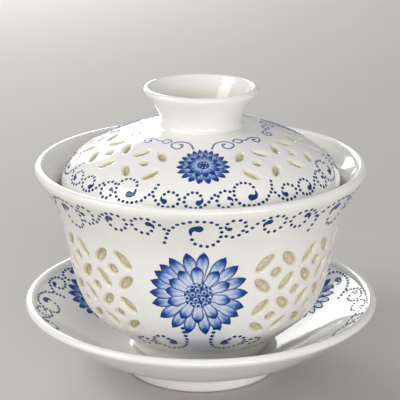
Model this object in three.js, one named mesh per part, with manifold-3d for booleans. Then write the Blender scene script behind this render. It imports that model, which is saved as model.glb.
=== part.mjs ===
// A covered tea bowl (gaiwan) in pierced porcelain: a saucer, a bowl that stands in its well,
// and a lid that drops into the flare of the bowl. Millimetres, +Z up. The origin is the
// centre of the saucer's foot, on the surface that it stands on, and -Y is the front.
//
// The bowl and the lid are pierced with groups of rice-grain windows. A coat of glaze lines
// the inside of each and closes the windows, so light comes through and tea does not.

import * as THREE from 'three';
import { mergeVertices } from 'three/addons/utils/BufferGeometryUtils.js';
import Module from 'manifold-3d';

const wasm = await Module();
wasm.setup();

// ---- driving dimensions ----

const TURNS = 36;              // facets round every turned shape
const LIP_STEPS = 3;           // facets over every rounded lip
const WALL_STEPS = 8;          // facets up the saucer, and up the lid
const KNOB_STEPS = 5;
const BOWL_OUTSIDE_STEPS = 10;
const BOWL_INSIDE_STEPS = 9;
const BOWL_GLAZED_STEPS = 8;   // the steps of the bowl's inside, from the floor, that are lined
const LUTING_GAP = 0.1;        // gap left between two shapes that are joined face to face
const GLAZE_COAT = 0.5;        // thickness of the glaze that lines the bowl and the lid
const MERGE_DISTANCE = 1e-4;   // corners closer than this are one corner

const SAUCER_RIM_RADIUS = 54.3;
const SAUCER_RIM_HEIGHT = 22.4;
const SAUCER_LIP_RADIUS = 1.3;
const SAUCER_BASE_HEIGHT = 4.4;
const SAUCER_FLOOR_HEIGHT = 7.2;
const SAUCER_WELL_RADIUS = 24;
const SAUCER_FOOT_RADIUS = 24;
const FOOT_RING_WIDTH = 3.2;

const BOWL_STAND_HEIGHT = 7.5; // the bowl's foot, just clear of the saucer's floor
const BOWL_FOOT_RADIUS = 21.6;
const BOWL_BASE_HEIGHT = 12.2;
const BOWL_FLOOR_HEIGHT = 15;
const BOWL_RIM_RADIUS = 50;
const BOWL_RIM_HEIGHT = 64.8;
const BOWL_LIP_RADIUS = 1.4;

const LID_EDGE_RADIUS = 42.2;
const LID_EDGE_HEIGHT = 60.4;
const LID_BOTTOM_HEIGHT = 58;
const LID_CROWN_HEIGHT = 77.4;
const LID_WALL = 2.6;
const LID_EDGE_EASE = 0.5;     // how far each side of the lid's edge is rounded in

const KNOB_NECK_RADIUS = 12;
const KNOB_RIM_RADIUS = 17;
const KNOB_RIM_HEIGHT = 87.8;
const KNOB_LIP_RADIUS = 1.4;
const KNOB_WALL = 2.6;

// Windows: columns of slanted grains, with a round grain in every other diamond between them.
const WINDOW_COLUMNS = 6;
const WINDOW_SIDES = 6;
const WINDOW_CUT = 5;          // how far a window's cutter reaches to each side of the surface

const BOWL_WINDOWS = {
    groups: [56, 180, 299],    // azimuth of each group's middle, in degrees from the front
    columnPitch: 11.5,         // degrees
    rows: 4,
    lowestRow: 20.9,           // along the wall, from the bottom of the wall
    rowPitch: 7.34,
    grain: [3.4, 1.75],        // half length and half width of a slanted grain
    round: [2.05, 1.8],        // half width and half height of a round grain
    slant: 43,                 // degrees from level
    fullSizeRadius: 42,        // radius of the wall where the grains are full size
};
const LID_WINDOWS = {
    groups: [60, 180, 296],
    columnPitch: 14.6,
    rows: 2,
    lowestRow: 15.4,
    rowPitch: 8,
    grain: [3.0, 1.35],
    round: [1.75, 1.55],
    slant: 48,
    fullSizeRadius: 31,
};

// ---- materials ----

function porcelain(color, roughness) {
    return new THREE.MeshStandardMaterial({ color, roughness, metalness: 0 });
}

const WHITE_GLAZE = porcelain(0xebe8e2, 0.12);
const WINDOW_GLAZE = porcelain(0xcfc9a6, 0.08);

// ---- outlines: lists of points, (radius, height) ----

function curve(pairs) {
    return new THREE.SplineCurve(pairs.map(([r, z]) => new THREE.Vector2(r, z)));
}

// Points over a round lip, anticlockwise from its outer shoulder to its inner one.
function lip(rimRadius, rimHeight, size) {
    const shoulder = Math.PI / 6;
    const arc = new THREE.EllipseCurve(
        rimRadius - size, rimHeight, size, size, shoulder, Math.PI - shoulder,
    );
    return arc.getPoints(LIP_STEPS);
}

// The curve's points, moved sideways to the left of its direction.
function beside(path, distance, steps) {
    const points = [];
    for (let i = 0; i <= steps; i += 1) {
        const at = path.getPointAt(i / steps);
        const along = path.getTangentAt(i / steps);
        points.push(new THREE.Vector2(at.x - along.y * distance, at.y + along.x * distance));
    }
    return points;
}

const saucerUnderside = curve([
    [SAUCER_FOOT_RADIUS + 0.6, SAUCER_BASE_HEIGHT],
    [32.4, 7.4],
    [39.9, 11.4],
    [47.3, 16.6],
    [SAUCER_RIM_RADIUS - 1.2, 21.1],
    [SAUCER_RIM_RADIUS, SAUCER_RIM_HEIGHT],
]);

const saucerInside = curve([
    [51.2, 21.9],
    [45.8, 18.4],
    [38.5, 13.6],
    [31, 9.6],
    [SAUCER_WELL_RADIUS, SAUCER_FLOOR_HEIGHT],
]);

const bowlOutside = curve([
    [BOWL_FOOT_RADIUS + 0.8, BOWL_BASE_HEIGHT],
    [26.1, 14.1],
    [30.8, 17.8],
    [35, 21.9],
    [37.7, 27],
    [39.3, 32.7],
    [40.5, 38.7],
    [41.7, 45.7],
    [43.4, 52.2],
    [46.6, 59],
    [BOWL_RIM_RADIUS - 0.4, 63.4],
    [BOWL_RIM_RADIUS, BOWL_RIM_HEIGHT],
]);

const bowlInside = curve([
    [18, BOWL_FLOOR_HEIGHT],
    [24, 16.6],
    [28.9, 19.9],
    [32.8, 23.9],
    [35.1, 28.1],
    [36.7, 33.3],
    [37.9, 39.2],
    [39.1, 46.2],
    [40.6, 53],
    [42.9, 58.6],
    [45.2, 62.2],
    [BOWL_RIM_RADIUS - 2 * BOWL_LIP_RADIUS, BOWL_RIM_HEIGHT],
]);

const lidOutside = curve([
    [LID_EDGE_RADIUS, LID_EDGE_HEIGHT],
    [41.4, 63.2],
    [38.3, 67.5],
    [32.5, 71.3],
    [26, 74.2],
    [18.4, 76.6],
    [KNOB_NECK_RADIUS, LID_CROWN_HEIGHT],
]);

const knobOutside = curve([
    [KNOB_NECK_RADIUS, LID_CROWN_HEIGHT + LUTING_GAP],
    [KNOB_NECK_RADIUS + 0.3, 79.1],
    [13.7, 82.5],
    [15.9, 85.8],
    [KNOB_RIM_RADIUS, KNOB_RIM_HEIGHT],
]);

// ---- solids ----

// A closed solid from a geometry: shared corners are merged and flat triangles dropped.
function solid(geometry) {
    geometry.deleteAttribute('normal');
    geometry.deleteAttribute('uv');
    const merged = mergeVertices(geometry, MERGE_DISTANCE);
    const corners = merged.attributes.position.array;
    const triangles = [];
    for (let i = 0; i < merged.index.count; i += 3) {
        const [a, b, c] = [0, 1, 2].map((k) => merged.index.getX(i + k));
        if (a !== b && b !== c && c !== a) {
            triangles.push(a, b, c);
        }
    }
    return new wasm.Manifold(new wasm.Mesh({
        numProp: 3,
        vertProperties: Float32Array.from(corners),
        triVerts: Uint32Array.from(triangles),
    }));
}

// A closed outline turned round the upright axis.
function turned(outline) {
    const closed = [...outline, outline[0].clone()];
    const geometry = new THREE.LatheGeometry(closed, TURNS);
    return solid(geometry.rotateX(Math.PI / 2));
}

function mesh(name, body, material) {
    const { vertProperties, triVerts } = body.getMesh();
    const geometry = new THREE.BufferGeometry();
    geometry.setAttribute('position', new THREE.BufferAttribute(vertProperties, 3));
    geometry.setIndex(new THREE.BufferAttribute(triVerts, 1));
    geometry.computeVertexNormals();
    const part = new THREE.Mesh(geometry, material);
    part.name = name;
    return part;
}

// ---- windows ----

// A straight cutter with an oval section, through the wall at one place on its surface.
function windowCutter(wall, reach, azimuth, halfSize, slant) {
    const shape = new THREE.Shape();
    shape.absellipse(0, 0, halfSize[0], halfSize[1], 0, 2 * Math.PI);
    const geometry = new THREE.ExtrudeGeometry(shape, {
        depth: 2 * WINDOW_CUT,
        bevelEnabled: false,
        curveSegments: WINDOW_SIDES / 2,
    });
    geometry.translate(0, 0, -WINDOW_CUT);
    geometry.rotateZ(THREE.MathUtils.degToRad(slant));

    const at = wall.getPointAt(reach / wall.getLength());
    const along = wall.getTangentAt(reach / wall.getLength());
    const turn = THREE.MathUtils.degToRad(azimuth);
    const outwards = new THREE.Vector3(Math.sin(turn), -Math.cos(turn), 0);
    const upwards = new THREE.Vector3(0, 0, 1);
    const rise = outwards.clone().multiplyScalar(along.x).addScaledVector(upwards, along.y);
    const facing = outwards.clone().multiplyScalar(along.y).addScaledVector(upwards, -along.x);
    const place = new THREE.Matrix4().makeBasis(rise.clone().cross(facing), rise, facing);
    place.setPosition(outwards.multiplyScalar(at.x).addScaledVector(upwards, at.y));
    geometry.applyMatrix4(place);
    return solid(geometry);
}

// Every window of one wall. Slants alternate, so four grains stand round each round one.
function windowCutters(wall, plan) {
    const cutters = [];
    const cut = (column, row, halfSize, slant) => {
        const reach = plan.lowestRow + row * plan.rowPitch;
        const scale = wall.getPointAt(reach / wall.getLength()).x / plan.fullSizeRadius;
        const size = halfSize.map((half) => half * scale);
        for (const middle of plan.groups) {
            const azimuth = middle + (column - (WINDOW_COLUMNS - 1) / 2) * plan.columnPitch;
            cutters.push(windowCutter(wall, reach, azimuth, size, slant));
        }
    };
    const top = plan.rows - 1;
    for (let row = 0; row <= top; row += 1) {
        for (let column = 0; column < WINDOW_COLUMNS; column += 1) {
            const rising = (top - row + column) % 2 === 0;
            cut(column, row, plan.grain, rising ? plan.slant : -plan.slant);
        }
    }
    for (let row = 0; row < top; row += 1) {
        for (let column = (top - row - 1) % 2; column < WINDOW_COLUMNS - 1; column += 2) {
            cut(column + 0.5, row + 0.5, plan.round, 0);
        }
    }
    return wasm.Manifold.union(cutters);
}

// ---- the saucer ----

function saucerDish() {
    return turned([
        new THREE.Vector2(0, SAUCER_BASE_HEIGHT),
        ...saucerUnderside.getSpacedPoints(WALL_STEPS),
        ...lip(SAUCER_RIM_RADIUS, SAUCER_RIM_HEIGHT, SAUCER_LIP_RADIUS),
        ...saucerInside.getSpacedPoints(WALL_STEPS),
        new THREE.Vector2(0, SAUCER_FLOOR_HEIGHT),
    ]);
}

// A plain ring that a piece stands on, with its lower edges eased.
function footRing(radius, bottom, base) {
    const ease = 0.4;
    const top = base - LUTING_GAP;
    const inner = radius - FOOT_RING_WIDTH;
    return turned([
        new THREE.Vector2(inner + ease, bottom),
        new THREE.Vector2(radius - ease, bottom),
        new THREE.Vector2(radius, bottom + ease),
        new THREE.Vector2(radius, top),
        new THREE.Vector2(inner, top),
        new THREE.Vector2(inner, bottom + ease),
    ]);
}

function saucerFootRing() {
    return footRing(SAUCER_FOOT_RADIUS, 0, SAUCER_BASE_HEIGHT);
}

// ---- the bowl ----

function bowlFootRing() {
    return footRing(BOWL_FOOT_RADIUS, BOWL_STAND_HEIGHT, BOWL_BASE_HEIGHT);
}

function bowlWall() {
    const blank = turned([
        new THREE.Vector2(0, BOWL_BASE_HEIGHT),
        ...bowlOutside.getSpacedPoints(BOWL_OUTSIDE_STEPS),
        ...lip(BOWL_RIM_RADIUS, BOWL_RIM_HEIGHT, BOWL_LIP_RADIUS),
        ...bowlInside.getSpacedPoints(BOWL_INSIDE_STEPS).reverse(),
        new THREE.Vector2(0, BOWL_FLOOR_HEIGHT),
    ]);
    return blank.subtract(windowCutters(bowlOutside, BOWL_WINDOWS));
}

function bowlWindowGlaze() {
    const coat = (distance) => (
        beside(bowlInside, distance, BOWL_INSIDE_STEPS).slice(0, BOWL_GLAZED_STEPS + 1)
    );
    const against = coat(LUTING_GAP);
    const inside = coat(LUTING_GAP + GLAZE_COAT);
    const middle = BOWL_FLOOR_HEIGHT + LUTING_GAP;
    return turned([
        new THREE.Vector2(0, middle + GLAZE_COAT),
        new THREE.Vector2(0, middle),
        ...against,
        ...inside.reverse(),
    ]);
}

// ---- the lid ----

function lidInside(distance) {
    return beside(lidOutside, distance, WALL_STEPS);
}

function lidDome() {
    const blank = turned([
        new THREE.Vector2(LID_EDGE_RADIUS - LID_EDGE_EASE, LID_BOTTOM_HEIGHT),
        ...lidOutside.getSpacedPoints(WALL_STEPS),
        new THREE.Vector2(0, LID_CROWN_HEIGHT),
        new THREE.Vector2(0, LID_CROWN_HEIGHT - LID_WALL),
        ...lidInside(LID_WALL).reverse(),
        new THREE.Vector2(LID_EDGE_RADIUS - LID_WALL + LID_EDGE_EASE, LID_BOTTOM_HEIGHT),
    ]);
    return blank.subtract(windowCutters(lidOutside, LID_WINDOWS));
}

function lidWindowGlaze() {
    const against = lidInside(LID_WALL + LUTING_GAP);
    const inside = lidInside(LID_WALL + LUTING_GAP + GLAZE_COAT);
    const middle = LID_CROWN_HEIGHT - LID_WALL - LUTING_GAP;
    return turned([
        ...against,
        new THREE.Vector2(0, middle),
        new THREE.Vector2(0, middle - GLAZE_COAT),
        ...inside.reverse(),
    ]);
}

function lidKnobRing() {
    return turned([
        ...knobOutside.getSpacedPoints(KNOB_STEPS),
        ...lip(KNOB_RIM_RADIUS, KNOB_RIM_HEIGHT, KNOB_LIP_RADIUS),
        ...beside(knobOutside, KNOB_WALL, KNOB_STEPS).reverse(),
    ]);
}

// ---- the assembly ----

const saucer = new THREE.Group();
saucer.add(
    mesh('saucer_dish', saucerDish(), WHITE_GLAZE),
    mesh('saucer_foot_ring', saucerFootRing(), WHITE_GLAZE),
);

const bowl = new THREE.Group();
bowl.add(
    mesh('bowl_wall', bowlWall(), WHITE_GLAZE),
    mesh('bowl_foot_ring', bowlFootRing(), WHITE_GLAZE),
    mesh('bowl_window_glaze', bowlWindowGlaze(), WINDOW_GLAZE),
);

const lid = new THREE.Group();
lid.add(
    mesh('lid_dome', lidDome(), WHITE_GLAZE),
    mesh('lid_knob_ring', lidKnobRing(), WHITE_GLAZE),
    mesh('lid_window_glaze', lidWindowGlaze(), WINDOW_GLAZE),
);

const gaiwan = new THREE.Group();
gaiwan.add(saucer, bowl, lid);

export default gaiwan;
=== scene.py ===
import math

import bmesh
import bpy
import numpy as np
from bpy.props import FloatProperty, FloatVectorProperty, IntProperty, PointerProperty
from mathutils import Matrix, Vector


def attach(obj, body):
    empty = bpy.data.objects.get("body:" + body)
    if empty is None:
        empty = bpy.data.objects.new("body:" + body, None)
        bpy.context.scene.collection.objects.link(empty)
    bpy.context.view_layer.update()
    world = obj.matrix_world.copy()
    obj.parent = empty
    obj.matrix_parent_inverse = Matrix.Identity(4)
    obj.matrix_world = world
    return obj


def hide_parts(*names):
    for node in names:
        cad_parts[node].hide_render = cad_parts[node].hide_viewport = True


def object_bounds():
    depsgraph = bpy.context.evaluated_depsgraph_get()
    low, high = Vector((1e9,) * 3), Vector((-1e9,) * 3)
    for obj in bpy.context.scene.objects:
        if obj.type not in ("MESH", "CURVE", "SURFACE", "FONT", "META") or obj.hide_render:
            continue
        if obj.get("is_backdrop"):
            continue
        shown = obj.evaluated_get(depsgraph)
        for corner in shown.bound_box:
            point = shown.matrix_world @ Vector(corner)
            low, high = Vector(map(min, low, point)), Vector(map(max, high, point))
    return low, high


bl_info = {
    "name": "Pierced porcelain gaiwan",
    "version": (1, 0, 0),
    "blender": (4, 5, 0),
    "location": "3D View > Sidebar > Gaiwan",
    "description": "A covered tea bowl on its saucer, pierced with glazed rice-grain windows",
    "category": "Object",
}

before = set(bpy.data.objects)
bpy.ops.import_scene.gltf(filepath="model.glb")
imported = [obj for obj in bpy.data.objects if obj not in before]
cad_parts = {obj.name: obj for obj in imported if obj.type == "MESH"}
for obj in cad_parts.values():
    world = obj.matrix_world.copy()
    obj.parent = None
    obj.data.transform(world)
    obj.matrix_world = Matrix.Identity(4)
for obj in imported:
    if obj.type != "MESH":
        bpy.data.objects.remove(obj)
cad_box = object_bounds()

MM = 0.001
FULL_TURN = 2 * math.pi

# ---- colours of the fired surfaces, as sRGB hex ----

PORCELAIN_WHITE = "#F3F0EA"    # white body under clear glaze, a little warm
PORCELAIN_SHADE = "#E9E8E4"    # where the glaze lies thicker, a little greyer
WINDOW_OLIVE = "#DED4B6"       # thick glaze that fills the windows
WINDOW_THICK_AND_SHADED = "#C4B58C"       # the same glaze, darker against the side: thicker there, with painted shade in the crease
WINDOW_CREAM = "#DED8C5"       # glaze that pools on the sides of a window
COBALT_LINE = "#193E7A"        # cobalt laid on thickly, in dots and drops
COBALT_DEEP = "#112D60"        # the same where the brush left more of it
COBALT_TIP = "#0E3580"         # cobalt at the dark tip of a petal
COBALT_WASH = "#6189C6"        # cobalt thinned to a wash
PETAL_PALE = "#D5DDEA"         # the palest wash, at the root of a petal
PETAL_OUTLINE = "#1C4591"      # the fine line round a petal
THIN_WASH = "#BFCCE2"          # the pale rings of a flower's seeds
THIN_WASH_DEEP = "#8AA4CF"
FULL_WASH = "#1F4390"          # the ground of a flower's middle
FULL_WASH_DEEP = "#12306F"
WATERED_LINE = "#6F7EA8"       # the fine scrolls, drawn with watered cobalt
WATERED_LINE_DEEP = "#5A6994"
BISCUIT = "#D9D0C0"            # bare fired body
BISCUIT_SHADE = "#C4B8A4"
TABLE_PALE = "#C4C1BC"         # the matt board that it stands on
ROOM_LIGHT = "#E8EAEE"         # daylight from all round, a little cool


def linear(hex_colour):
    """An sRGB hex colour as linear red, green, blue and a full alpha."""
    parts = [int(hex_colour[i:i + 2], 16) / 255 for i in (1, 3, 5)]
    return tuple(c / 12.92 if c <= 0.04045 else ((c + 0.055) / 1.055) ** 2.4 for c in parts) + (1.0,)


# ---- outlines: (radius, height) in mm, from the middle out to the rim or edge ----

SAUCER_UNDER = [
    (19, 4.4), (24.6, 4.4), (32.4, 7.4), (39.9, 11.4), (47.3, 16.6), (53.1, 21.1), (54.2, 22.4),
]
SAUCER_DISH = [(19, 7.2), (24, 7.2), (31, 9.6), (38.5, 13.6), (45.8, 18.4), (51.2, 21.9)]
BOWL_OUTSIDE = [
    (17, 12.2), (22.4, 12.2), (26.1, 14.1), (30.8, 17.8), (35, 21.9), (37.7, 27), (39.3, 32.7),
    (40.5, 38.7), (41.7, 45.7), (43.4, 52.2), (46.6, 59), (49.6, 63.4), (50, 64.8),
]
BOWL_INSIDE = [
    (17, 15), (18, 15), (24, 16.6), (28.9, 19.9), (32.8, 23.9), (35.1, 28.1), (36.7, 33.3),
    (37.9, 39.2), (39.1, 46.2), (40.6, 53), (42.9, 58.6), (45.2, 62.2), (47.2, 64.8),
]
LID_OUTSIDE = [
    (9, 77.5), (12, 77.4), (18.4, 76.6), (26, 74.2), (32.5, 71.3), (38.3, 67.5), (41.4, 63.2),
    (42.2, 60.6), (42.1, 59.4),
]
LID_WALL = 2.6
BOWL_WALL_THICKNESS = 2.75

# The knob: a flared ring, its outside and its hollow, from the lid up and back down.
KNOB_OUTSIDE = [
    (13.5, 76.8), (12.5, 77.6), (12.15, 78.5), (12.2, 79.6), (12.9, 81.4), (14.7, 84.3),
    (16.3, 86.4), (17.2, 87.8),
]
KNOB_LIP = [(17.25, 87.93), (14.95, 87.95)]
KNOB_HOLLOW = [
    (14.9, 87.8), (14.0, 86.6), (12.8, 84.8), (11.2, 82.4), (10.1, 80.4), (9.4, 78.6), (8.6, 77.2),
]
KNOB_TOP = 88                  # the height in mm at which the painted shade in the hollow starts
HOLLOW_SHADE_DEPTH = 8                 # mm below that at which the painted shade is full
HOLLOW_SHADE = 0.6              # how strong the painted shade is there, against 1 for the glaze in a window's throat

# The foot rings: their inner side going down, their outer side going up, the edge between the two,
# and the bare sole on that edge.
SAUCER_FOOT_INNER = [(21.0, 4.7), (20.9, 3.0), (21.1, 0.9)]
SAUCER_FOOT_OUTER = [(23.8, 0.9), (24.0, 3.0), (24.0, 4.0), (24.6, 4.45), (24.6, 4.7)]
SAUCER_FOOT_EDGE = [(21.35, 0.45), (23.5, 0.45)]
SAUCER_SOLE = [(21.5, 0.5), (23.4, 0.5)]
BOWL_FOOT_INNER = [(18.5, 12.5), (18.4, 10.0), (18.7, 8.1)]
BOWL_FOOT_OUTER = [(21.3, 8.1), (21.6, 10.0), (21.7, 11.4), (22.3, 12.1), (22.6, 12.5)]
BOWL_FOOT_EDGE = [(18.95, 7.85), (21.05, 7.85)]
BOWL_SOLE = [(19.1, 7.85), (20.9, 7.85)]
FOOT_EDGE_BULGE = 0.1          # how round the edge is, where 1 is a half circle


def smooth_outline(points, steps=40):
    """A curve that runs through every point of an outline."""
    ends = [points[0]] + list(points) + [points[-1]]
    path = []
    for before, here, there, after in zip(ends, ends[1:], ends[2:], ends[3:]):
        a, b, c, d = (np.array(p, float) for p in (before, here, there, after))
        start = (c - a) / 2
        end = (d - b) / 2
        for t in np.arange(steps) / steps:
            cubic = (2 * b - 2 * c + start + end) * t ** 3
            square = (3 * c - 3 * b - 2 * start - end) * t ** 2
            path.append(cubic + square + start * t + b)
    return np.array(path + [np.array(points[-1], float)])


def lengths_along(path):
    """The distance of each point of a path from its start."""
    return np.concatenate([[0], np.cumsum(np.hypot(*np.diff(path, axis=0).T))])


def evenly(points, count):
    """A number of evenly spaced places along the smooth curve through some points."""
    path = smooth_outline(points)
    along = lengths_along(path)
    places = np.linspace(0, along[-1], count)
    return np.stack([np.interp(places, along, path[:, k]) for k in (0, 1)], axis=1)


def every(points, pitch):
    """Places about one pitch apart along the smooth curve through some points."""
    length = lengths_along(smooth_outline(points))[-1]
    return evenly(points, max(2, round(length / pitch) + 1))


def right_of(path):
    """Unit normals to the right of an outline's direction."""
    along = np.gradient(path, axis=0)
    sideways = np.stack([along[:, 1], -along[:, 0]], axis=1)
    return sideways / np.linalg.norm(sideways, axis=1)[:, None]


class Wall:
    """A turned wall: matching places on its two skins, from the middle out to the tip of its lip.

    Reach is the distance in mm along the outer skin from the middle.
    up is +1 where the wall rises as its reach grows, and -1 where it falls.
    """

    def __init__(self, outer, inner, up=1):
        self.up = up
        outer = smooth_outline(outer)
        if isinstance(inner, float):
            inner = outer - right_of(outer) * inner * up
        else:
            dense = smooth_outline(inner, 200)
            inner = dense[[np.argmin(((dense - p) ** 2).sum(axis=1)) for p in outer]]
            inner[-1] = dense[-1]
        self.body_reach = lengths_along(outer)[-1]
        self.outer, self.inner = self._with_lip(outer, inner)
        self.reach = lengths_along(self.outer)
        self.outer_normal = right_of(self.outer) * up
        self.inner_normal = -right_of(self.inner) * up

    def _with_lip(self, outer, inner):
        """Both skins, each carried a quarter turn round the lip until they meet."""
        middle = (outer[-1] + inner[-1]) / 2
        arm = outer[-1] - middle
        forward = np.array([-arm[1], arm[0]]) * self.up
        quarter = np.linspace(0, math.pi / 2, 40)[1:, None]
        over = forward * np.sin(quarter)
        return (
            np.concatenate([outer, middle + arm * np.cos(quarter) + over]),
            np.concatenate([inner, middle - arm * np.cos(quarter) + over]),
        )

    def at_reach(self, reach, table):
        """The places, or the normals, that a skin has at some reaches."""
        return np.stack([np.interp(reach, self.reach, table[:, k]) for k in (0, 1)], axis=-1)

    def radius(self, reach):
        """The outer skin's radius at a reach."""
        return float(self.at_reach(reach, self.outer)[0])

    def reach_at_radius(self, radius):
        """The reach at which the outer skin has a radius, short of the lip."""
        body = self.reach <= self.body_reach
        return float(np.interp(radius, self.outer[body, 0], self.reach[body]))

    def place(self, spots, inside=False):
        """Points in metres for rows of (azimuth, reach, depth, lift).

        Depth runs from 0 on the outer skin to 1 on the inner one. Lift is the height in mm above
        the skin that is painted, the outer one or the inner one.
        """
        azimuth, reach, depth, lift = spots.T
        outer = self.at_reach(reach, self.outer)
        inner = self.at_reach(reach, self.inner)
        spot = outer * (1 - depth)[:, None] + inner * depth[:, None]
        normals = self.inner_normal if inside else self.outer_normal
        spot = spot + self.at_reach(reach, normals) * lift[:, None]
        radius = spot[:, 0]
        return np.stack([radius * np.sin(azimuth), -radius * np.cos(azimuth), spot[:, 1]], axis=1) * MM


SAUCER_WALL = Wall(SAUCER_UNDER, SAUCER_DISH)
BOWL_WALL = Wall(BOWL_OUTSIDE, BOWL_INSIDE)
LID_SHELL = Wall(LID_OUTSIDE, LID_WALL, up=-1)

# ---- windows ----

WINDOW_COLUMNS = 6
GRAIN_POINTEDNESS = 1.9        # 2 is an ellipse; less draws out a grain's two ends

# Rim of a window, from its outline to its throat: how far in and how far down, in mm.
WINDOW_RIM = [(0.15, 0.04), (0.42, 0.20), (0.66, 0.50), (0.80, 0.90)]
THROAT_INSET = 0.85

# The skin of glaze in a window, in mm.
SKIN_INSET = 0.62              # from the window's outline in to the edge of the skin
SKIN_EDGE_DEPTH = 0.75         # how deep in the wall that edge lies
SKIN_FRONT_DEPTH = 1.3         # how deep the middle of the skin's front lies
SKIN_CLIMB = 0.6               # how much the front rises towards its edge
SKIN_BACK_GAP = 0.35           # how far short of the inside of the wall its back stops
SKIN_BACK_SAG = 0.1            # how much the back sinks towards its edge


class Spot:
    """A place on a wall, with a frame in mm round it: x to the right and y up, turned by an angle."""

    def __init__(self, wall, azimuth, reach, angle=0.0, scale=1.0, stretch=1.0, sway=1.0):
        self.wall = wall
        self.azimuth = azimuth
        self.reach = reach
        self.radius = wall.radius(reach)
        self.cos = math.cos(angle) * scale
        self.sin = math.sin(angle) * scale
        self.scale = scale
        self.stretch = stretch
        self.sway = sway

    def at(self, along, across):
        """The azimuth and reach of a place given in the frame."""
        x = (along * self.cos - across * self.sin) * self.sway * self.stretch
        y = along * self.sin + across * self.cos
        return self.azimuth + x / self.radius, self.reach + y * self.wall.up

    def local(self, azimuth, reach):
        """The same place in the frame, from its azimuth and reach."""
        x = (azimuth - self.azimuth) * self.radius
        y = (reach - self.reach) * self.wall.up
        return x * self.cos + y * self.sin, y * self.cos - x * self.sin


class Window(Spot):
    """One grain: its half length and half width in mm, at its slant."""

    def __init__(self, wall, azimuth, reach, size, slant):
        super().__init__(wall, azimuth, reach, slant)
        self.half = size

    def size_at(self, along, across):
        """0 in the middle, 1 on the grain's outline."""
        p = GRAIN_POINTEDNESS
        shares = np.abs(along / self.half[0]) ** p + np.abs(across / self.half[1]) ** p
        return shares ** (1 / p)

    def inset(self, along, across, inwards):
        """A place on the outline, moved inwards by a distance in mm."""
        return self.at(along * (1 - inwards / self.half[0]), across * (1 - inwards / self.half[1]))


def lattice(wall, groups, column_pitch, rows, grain, round_grain, slant, full_radius):
    """Slanted grains in rows, highest row last, with a round one in every other gap between four."""
    windows = []
    top = len(rows) - 1

    def add(column, reach, size, angle):
        scale = wall.radius(reach) / full_radius if full_radius else 1.0
        for middle in groups:
            azimuth = math.radians(middle + (column - (WINDOW_COLUMNS - 1) / 2) * column_pitch)
            windows.append(Window(wall, azimuth, reach, (size[0] * scale, size[1] * scale), angle))

    for row, reach in enumerate(rows):
        for column in range(WINDOW_COLUMNS):
            rising = (top - row + column) % 2 == 0
            add(column, reach, grain, math.radians(slant if rising else -slant))
    for row in range(top):
        between = (rows[row] + rows[row + 1]) / 2
        for column in range((top - row - 1) % 2, WINDOW_COLUMNS - 1, 2):
            add(column + 0.5, between, round_grain, 0.0)
    return windows


BOWL_BEND_REACH = BOWL_WALL.reach_at_radius(22.4)      # where the wall leaves the foot and rises
FOOT_STEP = 1.1                # mm from the side of the foot ring out to that bend
LID_EDGE_REACH = LID_SHELL.body_reach + 0.6            # half way round the lid's rounded edge


def up_the_bowl(distance):
    """The reach of a place that many mm up the bowl's outside from its foot ring."""
    return BOWL_BEND_REACH + distance - FOOT_STEP


def up_the_lid(distance):
    """The reach of a place that many mm up the lid from its edge."""
    return LID_EDGE_REACH - distance


BOWL_LOWEST_ROW = 20.8         # mm up the bowl
BOWL_ROW_PITCH = 7.34
BOWL_ROWS = [up_the_bowl(BOWL_LOWEST_ROW + BOWL_ROW_PITCH * row) for row in range(4)]
BOWL_WINDOWS = lattice(
    BOWL_WALL, (54.5, 180, -61), 11.5, BOWL_ROWS,
    grain=(4.0, 2.1), round_grain=(2.45, 2.1), slant=43, full_radius=42,
)
LID_LOWEST_ROW = 15.4          # mm up the lid
LID_ROW_PITCH = 8
LID_ROWS = [up_the_lid(LID_LOWEST_ROW + LID_ROW_PITCH * row) for row in range(2)]
LID_WINDOWS = lattice(
    LID_SHELL, (61.5, 180, -61.5), 14.6, LID_ROWS,
    grain=(3.1, 1.6), round_grain=(1.8, 1.6), slant=48, full_radius=None,
)

# ---- turned and pierced shells ----

SEAM = math.radians(-120)      # where a wall's grid begins and ends, behind a painted flower
LID_FEWER_COLUMNS = 60         # the lid is smaller than the bowl, and needs fewer faces round it
SAUCER_COLUMNS = 240
KNOB_STEPS = 180
FOOT_STEPS = 160
SOLE_STEPS = 120

BOWL_PITCH = 0.68              # mm from row to row where the bowl is pierced
BOWL_MARGIN = 4.2              # mm by which those close rows go past the outer windows' middles
LID_PITCH = 0.66
LID_MARGIN = 4

# Inside a window's outline by more than the first of these, in pitches, verts are cleared away.
# Outside it by less than the second, they are smoothed towards its new edge.
CLEAR_MARGIN = 0.7
SMOOTH_MARGIN = 2.4
SMOOTHINGS = 10
WINDOW_SEARCH = 7              # mm from a window's middle to the furthest vert that it can move
EVENNESS = 0.75                # how evenly a hole's verts spread, where 1 is all even


def corners_of_grid(bm, along, across):
    """A flat sheet of faces, and each of its corners with its share along and across, 0 to 1."""
    made = bmesh.ops.create_grid(bm, x_segments=along, y_segments=across, size=0.5)["verts"]
    return [(vert, vert.co.x + 0.5, vert.co.y + 0.5) for vert in made]


def rows_up(wall, first, last, fine, coarse, lip_rows=8):
    """The reaches of the rows of a wall: close together where it is pierced, and over its lip."""
    body = wall.body_reach
    low = np.linspace(0, first, max(2, round(first / coarse) + 1))[:-1]
    pierced = np.linspace(first, last, max(2, round((last - first) / fine) + 1))[:-1]
    high = np.linspace(last, body, max(2, round((body - last) / coarse) + 1))[:-1]
    lip = body + (wall.reach[-1] - body) * np.linspace(0, 1, lip_rows + 1)
    return np.concatenate([low, pierced, high, lip])


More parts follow.
